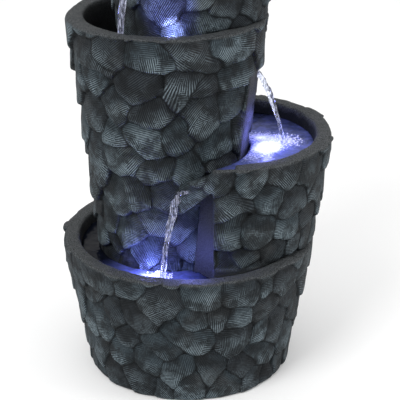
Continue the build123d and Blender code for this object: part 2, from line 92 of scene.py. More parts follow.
BASIN = Casting(0, 0, 0, 151, node_top("basin"), 190)
SECOND = Casting(46, 8, BASIN.high, 144, node_top("second_bowl"), 168)
THIRD = Casting(-29, -4, 264, 112, node_top("third_bowl"), 144)
TOP = Casting(6, 2, THIRD.high, 109, node_top("top_bowl"), 133)
RIM_WALL, TOP_WALL = 25.0, 22.0
SHELL, TOP_SHELL, SLAB = 14.0, 12.0, 14.0
BASIN_FLOOR, SECOND_FLOOR, THIRD_FLOOR, TOP_FLOOR = 20.0, 300.0, 440.0, 670.0
FRONT_CORNER, BACK_CORNER, FACE_WALL = (35.5, -132.0), (30.0, 112.0), 16.0
FLAT_ANGLE, FLAT_DEPTH, FLAT_TOP = math.radians(-11.5), 6.4, 474.0
OUTLET_ANGLE = math.radians(6.0)
JOINT_GAP, FOOT_GAP = 0.4, 1.0
RISER_X, RISER_Y = -12.0, 0.0
DOOR_X, DOOR_Z, PAD_Y = THIRD.x, 281.0, 96.0
PAD_HALF, RECESS_HALF, WAY_IN_HALF = (48.0, 49.0), (38.8, 40.8), (26.0, 30.0)
GLAND_Z, DRAIN_Z = 220.0, 40.0
GLAND_RECESS_Y = 100.0  # the gland's own seat is 2 mm further out
ARCH_HALF = 18.0

VOXEL = 2.0
MARGIN = 9.0  # room round a casting's box for its relief
BAND = 12.0  # distance fields are cut off beyond this
RIM_WAVE = 0.8
POOL_WAVE = 0.7


# ---- Distance fields: numpy arrays that are negative inside ----
def both(a, b, k=0.0):
    """Where two shapes overlap, with edges rounded over k."""
    hard = np.maximum(a, b)
    if k <= 0:
        return hard
    return hard + np.maximum(k - np.abs(a - b), 0) ** 2 / (4 * k)


def either(a, b, k=0.0):
    return -both(-a, -b, k)


def less(a, b, k=0.0):
    return both(a, -b, k)


def block(p, x0, x1, y0, y1, z0, z1):
    dx = np.abs(p[0] - (x0 + x1) / 2) - (x1 - x0) / 2
    dy = np.abs(p[1] - (y0 + y1) / 2) - (y1 - y0) / 2
    dz = np.abs(p[2] - (z0 + z1) / 2) - (z1 - z0) / 2
    return np.maximum(np.maximum(dx, dy), dz)


def turned(p, casting, angle):
    """The points seen from a casting's axis with X turned to an angle."""
    x, y = p[0] - casting.x, p[1] - casting.y
    c, s = math.cos(angle), math.sin(angle)
    return x * c + y * s, y * c - x * s, p[2]


def slab(p, z0, z1):
    return np.maximum(z0 - p[2], p[2] - z1)


def rod_z(p, x, y, radius, z0, z1):
    return np.maximum(np.hypot(p[0] - x, p[1] - y) - radius, slab(p, z0, z1))


def rod_y(p, x, z, radius, y0, y1):
    round_part = np.hypot(p[0] - x, p[2] - z) - radius
    return np.maximum(round_part, np.maximum(y0 - p[1], p[1] - y1))


# ---- Noise and the pattern of stones ----
def lattice_noise(u, v, cell, period, seed):
    """Smooth noise from -1 to 1 on a plane that repeats along u after period."""
    columns = max(1, round(period / cell))
    a, b = u / period * columns, v / cell
    i, j = np.floor(a).astype(int), np.floor(b).astype(int)
    fa, fb = a - i, b - j
    fa, fb = fa * fa * (3 - 2 * fa), fb * fb * (3 - 2 * fb)
    table = np.random.default_rng(seed).uniform(-1, 1, (columns, 512))

    def corner(di, dj):
        return table[(i + di) % columns, (j + dj) % 512]

    near = corner(0, 0) * (1 - fa) + corner(1, 0) * fa
    far = corner(0, 1) * (1 - fa) + corner(1, 1) * fa
    return near * (1 - fb) + far * fb


class Stones:
    """A wall of rounded stones wrapped round a casting, as a map over angle and height."""

    STEP = 1.25  # millimetres between two points of the map

    def __init__(self, casting, bottom, top, pitch, seed, relief=1.0):
        self.casting, self.bottom, self.top = casting, bottom, top
        self.mean_radius = casting.radius((bottom + top) / 2)
        self.period = 2 * math.pi * self.mean_radius
        rng = np.random.default_rng(seed)
        self.seeds = self.scatter(rng, pitch)
        count = len(self.seeds)
        self.turn = rng.uniform(0, math.pi, count)  # random draws keep this order
        self.long = rng.uniform(1.0, 1.45, count)
        self.weight = rng.uniform(-6, 6, count)
        self.shade = rng.uniform(0, 1, count)
        self.lift = rng.uniform(-1.1, 1.1, count) * relief
        self.lean = np.stack([rng.uniform(-0.05, 0.05, count), rng.uniform(-0.15, -0.07, count)], 1) * relief
        arc = rng.uniform(40, 330, count)
        way = rng.uniform(0, 2 * math.pi, count)
        self.arc_centre = self.seeds + np.stack([np.cos(way), np.sin(way)], 1) * arc[:, None]
        self.arc = arc
        self.fill_maps(relief, seed)

    def scatter(self, rng, pitch):
        """One seed per stone, in staggered rows with a good deal of disorder."""
        rows = max(2, round((self.top - self.bottom) / (pitch * 0.92)) + 2)
        columns = round(self.period / pitch)
        seeds = []
        for row in range(rows):
            z = self.bottom + (row - 0.5) * (self.top - self.bottom) / (rows - 2)
            for column in range(columns):
                u = (column + 0.5 * (row % 2)) * self.period / columns
                seeds.append((u + rng.uniform(-0.36, 0.36) * pitch, z + rng.uniform(-0.3, 0.3) * pitch))
        return np.array(seeds) % np.array([self.period, 1e9])

    def gap(self, u, v, i):
        """Offset from seed i, the short way round the casting; i may be an array."""
        du = (u - self.seeds[i, 0] + self.period / 2) % self.period - self.period / 2
        return du, v - self.seeds[i, 1]

    def fill_maps(self, relief, seed):
        nu, nv = round(self.period / self.STEP), round((self.top - self.bottom + 20) / self.STEP)
        u = (np.arange(nu) * self.period / nu)[:, None] + np.zeros(nv)
        v = (self.bottom - 10 + np.arange(nv) * self.STEP)[None, :] + np.zeros((nu, 1))

        def noise(cell, offset):
            return lattice_noise(u, v, cell, self.period, seed + offset)

        warp_u = u + 5.5 * noise(27, 1) + 1.6 * noise(9, 2)
        warp_v = v + 5.5 * noise(27, 3) + 1.6 * noise(9, 4)
        first, second = np.full(u.shape, 1e9), np.full(u.shape, 1e9)
        crowd, owner = np.zeros(u.shape), np.zeros(u.shape, int)
        soft = 2.6
        for i in range(len(self.seeds)):
            du, dv = self.gap(warp_u, warp_v, i)
            c, s = math.cos(self.turn[i]), math.sin(self.turn[i])
            lengthwise, crosswise = du * c + dv * s, dv * c - du * s
            reach = np.hypot(lengthwise / self.long[i], crosswise * self.long[i] ** 0.5) - self.weight[i]
            closer = reach < first
            second = np.where(closer, first, np.minimum(second, reach))
            owner = np.where(closer, i, owner)
            first = np.minimum(first, reach)
            crowd += np.exp(-np.minimum(reach, 200) / soft)
        others = np.maximum(crowd - np.exp(-first / soft), 1e-30)
        self.edge = (-soft * np.log(others) - first) / 2
        self.owner = owner
        du, dv = self.gap(u, v, owner)
        tilt = self.lean[owner, 0] * du + self.lean[owner, 1] * dv
        face = self.lift[owner] + tilt - 0.0012 * relief * (du**2 + dv**2)
        face += 0.6 * noise(15, 5) + 0.3 * noise(6, 6)
        crack = np.clip(1 - self.edge / 2.2, 0, 1) ** 1.5
        self.height = face + 0.6 * relief - 1.7 * relief * crack
        self.nu, self.nv = nu, nv

    def place(self, p):
        return (self.casting.angle(p) / (2 * math.pi)) % 1.0 * self.period, p[2]

    def sample(self, values, p):
        """Bilinear reading of a map at points."""
        u, v = self.place(p)
        a, b = u / self.period * self.nu, np.clip((v - self.bottom + 10) / self.STEP, 0, self.nv - 1.001)
        i, j = np.floor(a).astype(np.int32), np.floor(b).astype(np.int32)
        fa, fb = a - i, b - j
        i0, i1 = i % self.nu, (i + 1) % self.nu
        low = values[i0, j] * (1 - fa) + values[i1, j] * fa
        high = values[i0, j + 1] * (1 - fa) + values[i1, j + 1] * fa
        return low * (1 - fb) + high * fb

    def nearest(self, p):
        u, v = self.place(p)
        i = np.round(u / self.period * self.nu).astype(int) % self.nu
        j = np.clip(np.round((v - self.bottom + 10) / self.STEP).astype(int), 0, self.nv - 1)
        return self.owner[i, j]

    def hatch(self, p, i):
        """Coordinates along and across the chisel strokes of stone i, in millimetres."""
        u, v = self.place(p)
        du, dv = self.gap(u, v, i)
        x = du + self.seeds[i, 0] - self.arc_centre[i, 0]
        y = dv + self.seeds[i, 1] - self.arc_centre[i, 1]
        to_centre = (self.arc_centre - self.seeds)[i]
        toward = np.arctan2(to_centre[:, 1], to_centre[:, 0])
        turn = (np.arctan2(-y, -x) - toward + math.pi) % (2 * math.pi) - math.pi
        return turn * self.arc[i], np.hypot(x, y)


def ripple(casting, p, cell, seed):
    """Gentle unevenness round a casting's rims and inner walls."""
    period = 2 * math.pi * casting.high_radius
    return lattice_noise(casting.angle(p) / (2 * math.pi) % 1.0 * period, p[2], cell, period, seed)


# ---- The four castings ----
def rim_field(casting, p, seed):
    """Negative under a casting's slightly uneven rim."""
    return p[2] - casting.high - RIM_WAVE * ripple(casting, p, 18, seed)


def pool_field(casting, p, wall, floor, seed):
    """Negative inside the bowl at a casting's top."""
    return both(casting.side(p, wall) - POOL_WAVE * ripple(casting, p, 15, seed), floor - p[2], 8)


def arch_field(p, casting, degrees, floor, height, near, far):
    """The water way under a casting's foot."""
    way = turned(p, casting, math.radians(degrees))
    return block(way, near, far, -ARCH_HALF, ARCH_HALF, floor - 5, floor + height)


def basin_field(p, stones):
    wall = BASIN.side(p) - stones.sample(stones.height, p)
    body = both(both(wall, rim_field(BASIN, p, 5), 5), -p[2], 6)
    shape = less(body, pool_field(BASIN, p, RIM_WALL, BASIN_FLOOR, 6), 4)
    drain = either(rod_y(p, 0, DRAIN_Z, 8, 110, 180), rod_y(p, 0, DRAIN_Z, 14, 154, 190))
    return less(shape, drain)


def column_room(p):
    return THIRD.side(p, -JOINT_GAP - 2.2)


def beyond_corner(p, corner, inset=0.0):
    """Negative past one of the second bowl's flat faces."""
    x, y = corner
    side = math.copysign(1, y)
    turn_x, turn_y = x + inset, y - side * inset * (math.sqrt(2) - 1)
    slope = (p[0] - turn_x - side * (p[1] - turn_y)) / math.sqrt(2)
    return np.maximum(p[0] - turn_x, slope)


def left_part(p, inset=0.0):
    """Negative left of both flat faces."""
    front = beyond_corner(p, FRONT_CORNER, inset)
    back = beyond_corner(p, BACK_CORNER, inset)
    return np.minimum(front, back)


def spout_top(x):
    return 338 + (x - 39.5) * (27 / 51.5)


def second_field(p, stones):
    z = p[2]
    step = BASIN.high + JOINT_GAP
    wall = SECOND.side(p) - stones.sample(stones.height, p)
    upper = both(both(wall, step - z), rim_field(SECOND, p, 15), 5)
    foot = both(SECOND.side(p), BASIN.side(p, RIM_WALL + FOOT_GAP))
    foot = both(foot, slab(p, BASIN_FLOOR, step + 3))
    apron = both(BASIN.side(p, RIM_WALL + FOOT_GAP + 0.6), slab(p, step - 11.5, step - 1), 2)
    solid = either(either(upper, foot), apron, 2)
    pool = pool_field(SECOND, p, RIM_WALL, SECOND_FLOOR, 16)
    pool = less(pool, left_part(p, FACE_WALL), 5)
    room = both(SECOND.side(p, SHELL), slab(p, BASIN_FLOOR - 5, SECOND_FLOOR - SLAB))
    room = both(room, either(BASIN.side(p, RIM_WALL + FOOT_GAP + SHELL), step + SHELL - z))
    room = less(room, left_part(p, FACE_WALL))
    solid = less(less(less(solid, left_part(p), 2), room), pool, 4)
    solid = either(solid, spout_field(p, stones), 6)
    solid = less(solid, channel_field(p), 3)
    return less(solid, column_room(p))


def spout_field(p, stones):
    """The spout on the second bowl's front left corner."""
    x, y, z = p
    wall = SECOND.side(p) - 0.6 * stones.sample(stones.height, p)
    top = z - np.minimum(spout_top(x) + 26, 364)
    under = 289 + (x + 12) * (49 / 51.5) - z
    return both(both(both(both(wall, top, 4), under, 4), both(-12 - x, x - 44, 4), 4), y)


def channel_field(p):
    """The sloping channel that the spout's water runs down."""
    x, y, z = p
    bed = 318 + (x + 14) * (16 / 76) - z
    return both(both(both(SECOND.side(p, 10), bed, 6), both(-30 - x, x - 66), 3), y)


def flat_side(p, inset=0.0):
    """Negative beyond the column's flat side."""
    return THIRD.radius(p[2]) - FLAT_DEPTH - inset - turned(p, THIRD, FLAT_ANGLE)[0]


def third_field(p, stones):
    z = p[2]
    wall = THIRD.side(p) - stones.sample(stones.height, p)
    body = both(both(wall, rim_field(THIRD, p, 25), 5), BASIN_FLOOR - z)
    solid = less(body, pool_field(THIRD, p, RIM_WALL, THIRD_FLOOR, 26), 4)
    flat = both(flat_side(p), slab(p, SECOND_FLOOR + 0.5, FLAT_TOP), 2)
    solid = less(solid, flat, 2)
    room = both(THIRD.side(p, SHELL), slab(p, BASIN_FLOOR - 5, THIRD_FLOOR - SLAB))
    room = less(room, both(flat_side(p, SHELL), SECOND_FLOOR - 2 - z))
    solid = less(solid, room)
    outlet = turned(p, THIRD, OUTLET_ANGLE)
    solid = less(solid, block(outlet, 95, 160, -14, 14, 449, 467), 3)
    solid = less(solid, rod_z(p, RISER_X, RISER_Y, 12.1, THIRD_FLOOR - SLAB - 5, THIRD_FLOOR + 5))
    for degrees in (100, 180, 315):
        solid = less(solid, arch_field(p, THIRD, degrees, BASIN_FLOOR, 26, 50, 120), 4)
    return door_frame(p, solid)


def door_frame(p, solid):
    """The pad, recess and way in of the door, and the cable gland's hole, at the back of the column."""
    def upright(half, front):
        wide, tall = half
        return block(p, DOOR_X - wide, DOOR_X + wide, front, 400, DOOR_Z - tall, DOOR_Z + tall)

    solid = either(solid, both(upright(PAD_HALF, PAD_Y - 20), THIRD.side(p, 2)))
    solid = less(solid, upright(PAD_HALF, PAD_Y), 2)
    solid = less(less(solid, upright(RECESS_HALF, PAD_Y - 6)), upright(WAY_IN_HALF, 60))
    for side in (-32, 32):
        solid = less(solid, rod_y(p, DOOR_X + side, DOOR_Z, 4, PAD_Y - 18, PAD_Y - 4))
    gland_recess = rod_y(p, DOOR_X, GLAND_Z, 13, GLAND_RECESS_Y, 150)
    return less(less(solid, gland_recess), rod_y(p, DOOR_X, GLAND_Z, 6.2, 70, 150))


def top_field(p, stones):
    z = p[2]
    step = THIRD.high + JOINT_GAP
    wall = TOP.side(p) - stones.sample(stones.height, p)
    upper = both(both(wall, step - z), rim_field(TOP, p, 35), 5)
    foot = both(both(wall, THIRD.side(p, RIM_WALL + FOOT_GAP + 1)), slab(p, THIRD_FLOOR, step + 3))
    solid = either(upper, foot)
    pool = pool_field(TOP, p, TOP_WALL, TOP_FLOOR, 36)
    room = both(TOP.side(p, TOP_SHELL), slab(p, THIRD_FLOOR - 5, TOP_FLOOR - SLAB))
    room = both(room, either(THIRD.side(p, RIM_WALL + FOOT_GAP + TOP_SHELL), step + TOP_SHELL - z))
    solid = less(less(solid, room), pool, 4)
    solid = less(either(solid, top_spout(p), 5), top_channel(p), 2)
    for degrees in (math.degrees(OUTLET_ANGLE), 120, 200, 300):
        solid = less(solid, arch_field(p, TOP, degrees, THIRD_FLOOR, 32, 40, 130), 4)
    return less(solid, rod_z(p, RISER_X, RISER_Y, 9, TOP_FLOOR - SLAB - 5, TOP_FLOOR + 5))


def top_spout(p):
    """The spout that hangs on the top bowl's front left."""
    x, y, z = p
    wedge = both(both(-56 - x, x - 14, 4), y - TOP.y)
    hug = both(TOP.side(p, -20), -TOP.side(p, 8))
    under = 646 + (x + 56) * (36 / 70) - z
    over = z - 700 - (x + 56) * (22 / 70)
    return both(both(hug, wedge, 4), both(under, over, 4), 4)


def top_channel(p):
    """The groove behind the top spout's wall, and the window that lets water into it."""
    x, y, z = p
    groove = both(TOP.side(p, -11), -TOP.side(p, -1))
    groove = both(groove, both(x - 8, y - TOP.y))
    groove = both(groove, 684 + (x + 62) * (9 / 78) - z, 3)
    window = turned(p, TOP, math.radians(260.5))
    reach = TOP.radius(690)
    return either(groove, block(window, reach - 40, reach + 8, -8, 8, 690, 712), 3)


# ---- From fields to meshes ----
def polygonise(field, low, voxel, adaptivity):
    """The zero surface of a field sampled on a grid: points in millimetres and faces of 3 or 4 corners."""
    grid = openvdb.FloatGrid(BAND)
    grid.copyFromArray(np.clip(field, -BAND, BAND).astype(np.float32))
    points, triangles, quads = grid.convertToPolygons(isovalue=0.0, adaptivity=adaptivity)
    points = points * voxel + np.array(low)
    return points, triangles[:, ::-1], quads[:, ::-1]


def build_mesh(name, points, triangles, quads):
    me = bpy.data.meshes.new(name)
    corners = np.concatenate([triangles.ravel(), quads.ravel()]).astype(np.int32)
    sizes = np.concatenate([np.full(len(triangles), 3), np.full(len(quads), 4)]).astype(np.int32)
    me.vertices.add(len(points))
    me.vertices.foreach_set("co", (points * MM).astype(np.float32).ravel())
    me.loops.add(len(corners))
    me.loops.foreach_set("vertex_index", corners)
    me.polygons.add(len(sizes))
    me.polygons.foreach_set("loop_start", np.concatenate([[0], np.cumsum(sizes)[:-1]]).astype(np.int32))
    me.update(calc_edges=True)
    me.validate()
    me.polygons.foreach_set("use_smooth", np.ones(len(me.polygons), bool))
    return me


def corner_points(me):
    """For every face corner: its point in millimetres, and its face's centre."""
    co = np.empty(len(me.vertices) * 3, np.float32)
    me.vertices.foreach_get("co", co)
    co = co.reshape(-1, 3).astype(float) / MM
    index = np.empty(len(me.loops), np.int32)
    me.loops.foreach_get("vertex_index", index)
    total = np.empty(len(me.polygons), np.int32)
    me.polygons.foreach_get("loop_total", total)
    centre = np.empty(len(me.polygons) * 3, np.float32)
    me.polygons.foreach_get("center", centre)
    centre = np.repeat(centre.reshape(-1, 3).astype(float) / MM, total, axis=0)
    return co[index].T, centre.T


def paint_stones(me, stones, wall_mask, painted_shade_tone):
    """Writes the chisel coordinates and the stone colour values that the stone material reads, the last being
    dark joints on the walls and painted shade on the plain skin.
    """
    points, centres = corner_points(me)
    owner = stones.nearest(centres)
    along, across = stones.hatch(points, owner)
    uv = me.uv_layers.new(name="hatch")
    uv.data.foreach_set("uv", np.stack([along, across], 1).astype(np.float32).ravel())
    mask = wall_mask(points)
    edge = stones.sample(stones.edge, points)
    height = stones.sample(stones.height, points)
    lift = np.clip(0.5 + height / 7, 0, 1)
    # Last value: darkening at the joints between stones on the walls, painted shade on the plain skin.
    joints_and_painted_shade = mask * np.clip(edge / 5, 0, 1) + (1 - mask) * painted_shade_tone(points)
    values = np.stack([mask, stones.shade[owner], lift, joints_and_painted_shade], 1)
    colours = me.color_attributes.new("stone", "FLOAT_COLOR", "CORNER")
    colours.data.foreach_set("color", values.astype(np.float32).ravel())


def make_casting(node, field, stones, wall_mask, painted_shade_tone):
    """A stone casting that stands for its CAD node."""
    low, high = (np.array(corner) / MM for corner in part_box(node))
    low, high = low - MARGIN, high + MARGIN
    axes = [np.arange(a, b, VOXEL) for a, b in zip(low, high)]
    p = np.meshgrid(*[a.astype(np.float32) for a in axes], indexing="ij")
    me = build_mesh(node + "_stone", *polygonise(field(p, stones), low, VOXEL, 0.02))
    paint_stones(me, stones, wall_mask, painted_shade_tone)
    me.materials.append(STONE)
    obj = bpy.data.objects.new(node + "_stone", me)
    bpy.context.scene.collection.objects.link(obj)
    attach(obj, "fountain")
    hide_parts(node)


# ---- Materials ----
class Shader:
    """A small helper for building a material's nodes."""

    def __init__(self, name):
        self.material = bpy.data.materials.new(name)
        self.material.use_nodes = True
        self.tree = self.material.node_tree
        self.surface = self.tree.nodes["Principled BSDF"]

    def node(self, kind, inputs=None, **settings):
        made = self.tree.nodes.new(kind)
        for key, value in settings.items():
            setattr(made, key, value)
        for key, value in (inputs or {}).items():
            self.put(made.inputs[key], value)
        return made

    def put(self, socket, value):
        """Links a socket to another node's output, or sets its value."""
        if isinstance(value, bpy.types.NodeSocket):
            self.tree.links.new(value, socket)
        else:
            socket.default_value = value

    def math(self, operation, *values, clamp=False):
        made = self.tree.nodes.new("ShaderNodeMath")
        made.operation, made.use_clamp = operation, clamp
        for socket, value in zip(made.inputs, values):
            self.put(socket, value)
        return made.outputs[0]

    def mix(self, factor, a, b):
        """From colour a to colour b; the sockets are those of the node's colour form."""
        made = self.tree.nodes.new("ShaderNodeMix")
        made.data_type, made.clamp_factor = "RGBA", True
        self.put(made.inputs[0], factor)
        self.put(made.inputs[6], a)
        self.put(made.inputs[7], b)
        return made.outputs[2]

    def ramp(self, factor, low, high):
        """0 up to low, 1 from high, smooth between."""
        made = self.node("ShaderNodeMapRange", {"Value": factor, "From Min": low, "From Max": high})
        made.interpolation_type = "SMOOTHSTEP"
        return made.outputs["Result"]

    def place(self):
        """Object coordinates in metres."""
        return self.node("ShaderNodeTexCoord").outputs["Object"]

    def stretched(self, *scale):
        """Object coordinates, scaled along each axis."""
        return self.node("ShaderNodeMapping", {"Vector": self.place(), "Scale": scale}).outputs["Vector"]

    def noise(self, scale, detail=3.0, roughness=0.5, vector=None):
        made = self.node("ShaderNodeTexNoise", {"Vector": vector or self.place(), "Scale": scale})
        made.inputs["Detail"].default_value = detail
        made.inputs["Roughness"].default_value = roughness
        return made.outputs["Fac"]

    def bump(self, height, distance, strength=1.0, under=None):
        made = self.node("ShaderNodeBump", {"Height": height, "Distance": distance, "Strength": strength})
        if under is not None:
            self.put(made.inputs["Normal"], under)
        return made.outputs["Normal"]

    def set(self, **values):
        """Fills the surface's sockets, named with _ for a space, and returns the material."""
        for key, value in values.items():
            self.put(self.surface.inputs[key.replace("_", " ")], value)
        return self.material


def rgb(red, green, blue):
    return (red, green, blue, 1.0)


def stone_material():
    """Charcoal cast stone: chiselled stones on the walls, plain sandy casting elsewhere."""
    s = Shader("cast_stone")
    values = s.node("ShaderNodeAttribute", attribute_name="stone")
    split = s.node("ShaderNodeSeparateColor", {"Color": values.outputs["Color"]})
    mask, shade, lift = split.outputs[0], split.outputs[1], split.outputs[2]
    # Alpha: dark joints between stones on the walls, painted shade on the plain skin.
    edge = values.outputs["Alpha"]
    uv = s.node("ShaderNodeUVMap", uv_map="hatch").outputs["UV"]
    axes = s.node("ShaderNodeSeparateXYZ", {"Vector": uv})
    along, across = axes.outputs["X"], axes.outputs["Y"]

    def strokes(direction, other, pitch):
        """Chisel strokes as a wave from 0 to 1, bent by a noise that differs from stone to stone."""
        place = s.node("ShaderNodeCombineXYZ", {"X": s.math("MULTIPLY", other, 0.05),
                                                "Y": s.math("MULTIPLY", direction, 0.10),
                                                "Z": s.math("MULTIPLY", shade, 40.0)}).outputs[0]
        bend = s.math("MULTIPLY", s.noise(1.0, 2.0, vector=place), 6.0)
        phase = s.math("ADD", s.math("MULTIPLY", direction, 2 * math.pi / pitch), bend)
        return s.math("MULTIPLY_ADD", s.math("SINE", phase), 0.5, 0.5)

    main = strokes(across, along, 2.4)
    crossing = strokes(along, across, 2.7)
    worn = s.noise(33.0, 3.0, 0.6)
    main = s.math("MULTIPLY", main, s.ramp(worn, 0.36, 0.56))
    crossed = s.math("MULTIPLY", crossing, s.ramp(worn, 0.56, 0.44))
    hatch = s.math("MAXIMUM", s.math("MULTIPLY", crossed, 0.85), main)
    speck = s.ramp(s.noise(260.0, 3.0, 0.7), 0.36, 0.64)
    hatch = s.math("MULTIPLY", hatch, s.math("MULTIPLY_ADD", speck, 0.5, 0.6), clamp=True)
    pits = s.noise(620.0, 2.0, 0.6)
    grain = s.noise(1500.0, 2.0, 0.6)
    broad = s.noise(19.0, 4.0)
    blotch = s.ramp(s.noise(41.0, 4.0, 0.6), 0.40, 0.62)

    black, dark = rgb(0.003, 0.004, 0.005), rgb(0.004, 0.005, 0.006)
    charcoal, teal = rgb(0.007, 0.009, 0.012), rgb(0.013, 0.021, 0.027)
    brown = rgb(0.021, 0.022, 0.023)
    base = s.mix(s.ramp(shade, 0.1, 0.9), charcoal, teal)
    base = s.mix(s.ramp(broad, 0.5, 0.72), base, brown)
    base = s.mix(s.math("MULTIPLY", blotch, 0.75), base, black)
    worn_high = s.math("MULTIPLY_ADD", s.ramp(lift, 0.3, 0.85), 0.8, 0.2)
    ridge = s.math("MULTIPLY", s.ramp(hatch, 0.2, 0.7), worn_high)
    ridge = s.math("MULTIPLY", ridge, s.math("SUBTRACT", 1.0, s.math("MULTIPLY", blotch, 0.8)))
    ridge = s.math("MULTIPLY", ridge, s.math("MULTIPLY_ADD", shade, 0.6, 0.5), clamp=True)
    brushed = s.mix(ridge, base, rgb(0.185, 0.235, 0.262))
    wall = s.mix(s.math("MULTIPLY", s.ramp(edge, 0.32, 0.03), 0.8), brushed, black)
    sand = s.math("MULTIPLY_ADD", grain, 0.6, s.math("MULTIPLY", pits, 0.5))
    sandy = s.mix(s.ramp(sand, 0.46, 0.64), dark, rgb(0.086, 0.093, 0.098))
    # Painted shade: the plain skin goes dark where the alpha is low, inside bowls, in the channel and on flat
    # faces.
    sandy = s.mix(edge, dark, sandy)
    colour = s.mix(mask, sandy, wall)

    height = s.mix(mask, s.math("MULTIPLY", pits, 0.6), hatch)
    normal = s.bump(height, 0.0011, 1.0)
    normal = s.bump(s.math("MULTIPLY_ADD", grain, 0.5, pits), 0.0003, 0.8, normal)
    rough = s.math("MULTIPLY_ADD", s.noise(60.0), 0.25, 0.55)
    return s.set(Base_Color=colour, Roughness=rough, Normal=normal, Specular_IOR_Level=0.16)


def plastic_material(name, colour, roughness, speckle=0.25):
    """Moulded plastic or rubber with a fine grain and slight unevenness."""
    s = Shader(name)
    lighter = rgb(*[c * (1 + speckle) + 0.004 for c in colour])
    tint = s.mix(s.ramp(s.noise(90.0, 4.0), 0.35, 0.7), rgb(*colour), lighter)
    rough = s.math("MULTIPLY_ADD", s.noise(220.0, 3.0), 0.2, roughness - 0.1)
    normal = s.bump(s.noise(1900.0, 2.0), 0.00008, 0.6)
    return s.set(Base_Color=tint, Roughness=rough, Normal=normal)


def metal_material(name, colour, roughness):
    """Brushed or turned metal with fine streaks."""
    s = Shader(name)
    streak = s.noise(6.0, 4.0, 0.6, vector=s.stretched(40.0, 900.0, 40.0))
    tint = s.mix(streak, rgb(*[c * 0.75 for c in colour]), rgb(*colour))
    rough = s.math("MULTIPLY_ADD", streak, 0.25, roughness - 0.1)
    return s.set(Base_Color=tint, Roughness=rough, Metallic=1.0, Normal=s.bump(streak, 0.00005, 0.5))


def hose_material():
    """Clear vinyl hose, slightly milky."""
    s = Shader("clear_hose")
    tint = s.mix(s.noise(60.0), rgb(0.55, 0.62, 0.58), rgb(0.72, 0.77, 0.74))
    return s.set(Base_Color=tint, Roughness=s.math("MULTIPLY_ADD", s.noise(150.0), 0.12, 0.1),
                 Transmission_Weight=0.6, IOR=1.45)


def led_material(name, strength):
    """Glowing blue-violet plastic, brightest over the chips."""
    s = Shader(name)
    glow = s.mix(s.ramp(s.noise(240.0, 1.0), 0.35, 0.65), rgb(0.20, 0.22, 1.0), rgb(0.75, 0.78, 1.0))
    return s.set(Base_Color=rgb(0.6, 0.62, 0.9), Roughness=0.15,
                 Emission_Color=glow, Emission_Strength=strength)


STONE = stone_material()
CAD_MATERIALS = {
    "screw_brass": metal_material("screw_brass", (0.72, 0.50, 0.20), 0.35),
    "clamp_steel": metal_material("clamp_steel", (0.62, 0.62, 0.63), 0.3),
    "black_rubber": plastic_material("black_rubber", (0.012, 0.012, 0.013), 0.75),
    "black_plastic": plastic_material("black_plastic", (0.015, 0.016, 0.018), 0.42),
    "blue_plastic": plastic_material("blue_plastic", (0.03, 0.10, 0.32), 0.3),
    "white_plastic": plastic_material("white_plastic", (0.5, 0.5, 0.47), 0.45, 0.08),
    "shaft_ceramic": plastic_material("shaft_ceramic", (0.75, 0.74, 0.70), 0.15, 0.05),
    "clear_hose": hose_material(),
    "led_board": led_material("led_board", 4.0),
    "led_lens": led_material("led_lens", 0.75),
}


def finish_cad_nodes():
    """Gives every CAD node that still shows its detailed material."""
    for part in frame["record"]["subparts"]:
        obj = frame["nodes"][part["node"]]
        material = CAD_MATERIALS.get(part["material_slot"], STONE)
        for slot in obj.material_slots:
            slot.material = material


finish_cad_nodes()


# ---- Castings ----
def smooth_band(x, low, high):
    t = np.clip((x - low) / (high - low), 0, 1)
    return t * t * (3 - 2 * t)


def stone_walls(casting, p, reach=6):
    """1 on a casting's outer wall below the rim, 0 elsewhere."""
    near = 1 - smooth_band(np.abs(casting.side(p)), reach, 9)
    return near * (1 - smooth_band(p[2], casting.high - 4, casting.high - 1.5))


def basin_walls(p):
    return stone_walls(BASIN, p)


def second_walls(p):
    near = stone_walls(SECOND, p) * smooth_band(p[2], BASIN.high - 2, BASIN.high + 1)
    on_spout = (p[1] < 0) & (p[0] < 44) & (p[0] > -16) & (p[2] > 285)
    return near * np.where(on_spout, 1.0, smooth_band(left_part(p), 0.5, 2.5))


def third_walls(p):
    on_flat = (flat_side(p, 1.5) < 0) & (p[2] > SECOND_FLOOR) & (p[2] < FLAT_TOP)
    return np.where(on_flat, 0.0, stone_walls(THIRD, p, 6.5))


def top_walls(p):
    return stone_walls(TOP, p)


def bowl_painted_shade(casting):
    """Painted shade on a casting's plain skin: full tone on the rim, dark down inside the bowl."""
    def tone(p):
        return 0.12 + 0.88 * smooth_band(p[2], casting.high - 9, casting.high - 2)
    return tone


def panel_painted_shade(distance):
    """Painted shade on a flat face: tone 0.3 on the face, fading just off it."""
    return 0.3 * (1 - smooth_band(np.abs(distance), 1, 3))


def second_painted_shade(p):
    # Painted shade: the bowl's inside, the spout's channel (a quarter of that tone) and the flat faces are
    # darkened.
    channel = np.where((p[0] < 40) & (p[2] > 318) & (p[2] < 362), 0.25, 1.0)
    return np.maximum(bowl_painted_shade(SECOND)(p) * channel, panel_painted_shade(left_part(p)))


def third_painted_shade(p):
    # Painted shade inside the bowl and on the column's flat side.
    return np.maximum(bowl_painted_shade(THIRD)(p), panel_painted_shade(flat_side(p)))


BASIN_STONES = Stones(BASIN, 0, BASIN.high, pitch=47, seed=11)
SECOND_STONES = Stones(SECOND, BASIN.high, SECOND.high, pitch=49, seed=23)
THIRD_STONES = Stones(THIRD, BASIN_FLOOR, THIRD.high, pitch=48, seed=37, relief=1.15)
TOP_STONES = Stones(TOP, THIRD_FLOOR, TOP.high, pitch=45, seed=41)

make_casting("basin", basin_field, BASIN_STONES, basin_walls, bowl_painted_shade(BASIN))
make_casting("second_bowl", second_field, SECOND_STONES, second_walls, second_painted_shade)
make_casting("third_bowl", third_field, THIRD_STONES, third_walls, third_painted_shade)
make_casting("top_bowl", top_field, TOP_STONES, top_walls, bowl_painted_shade(TOP))


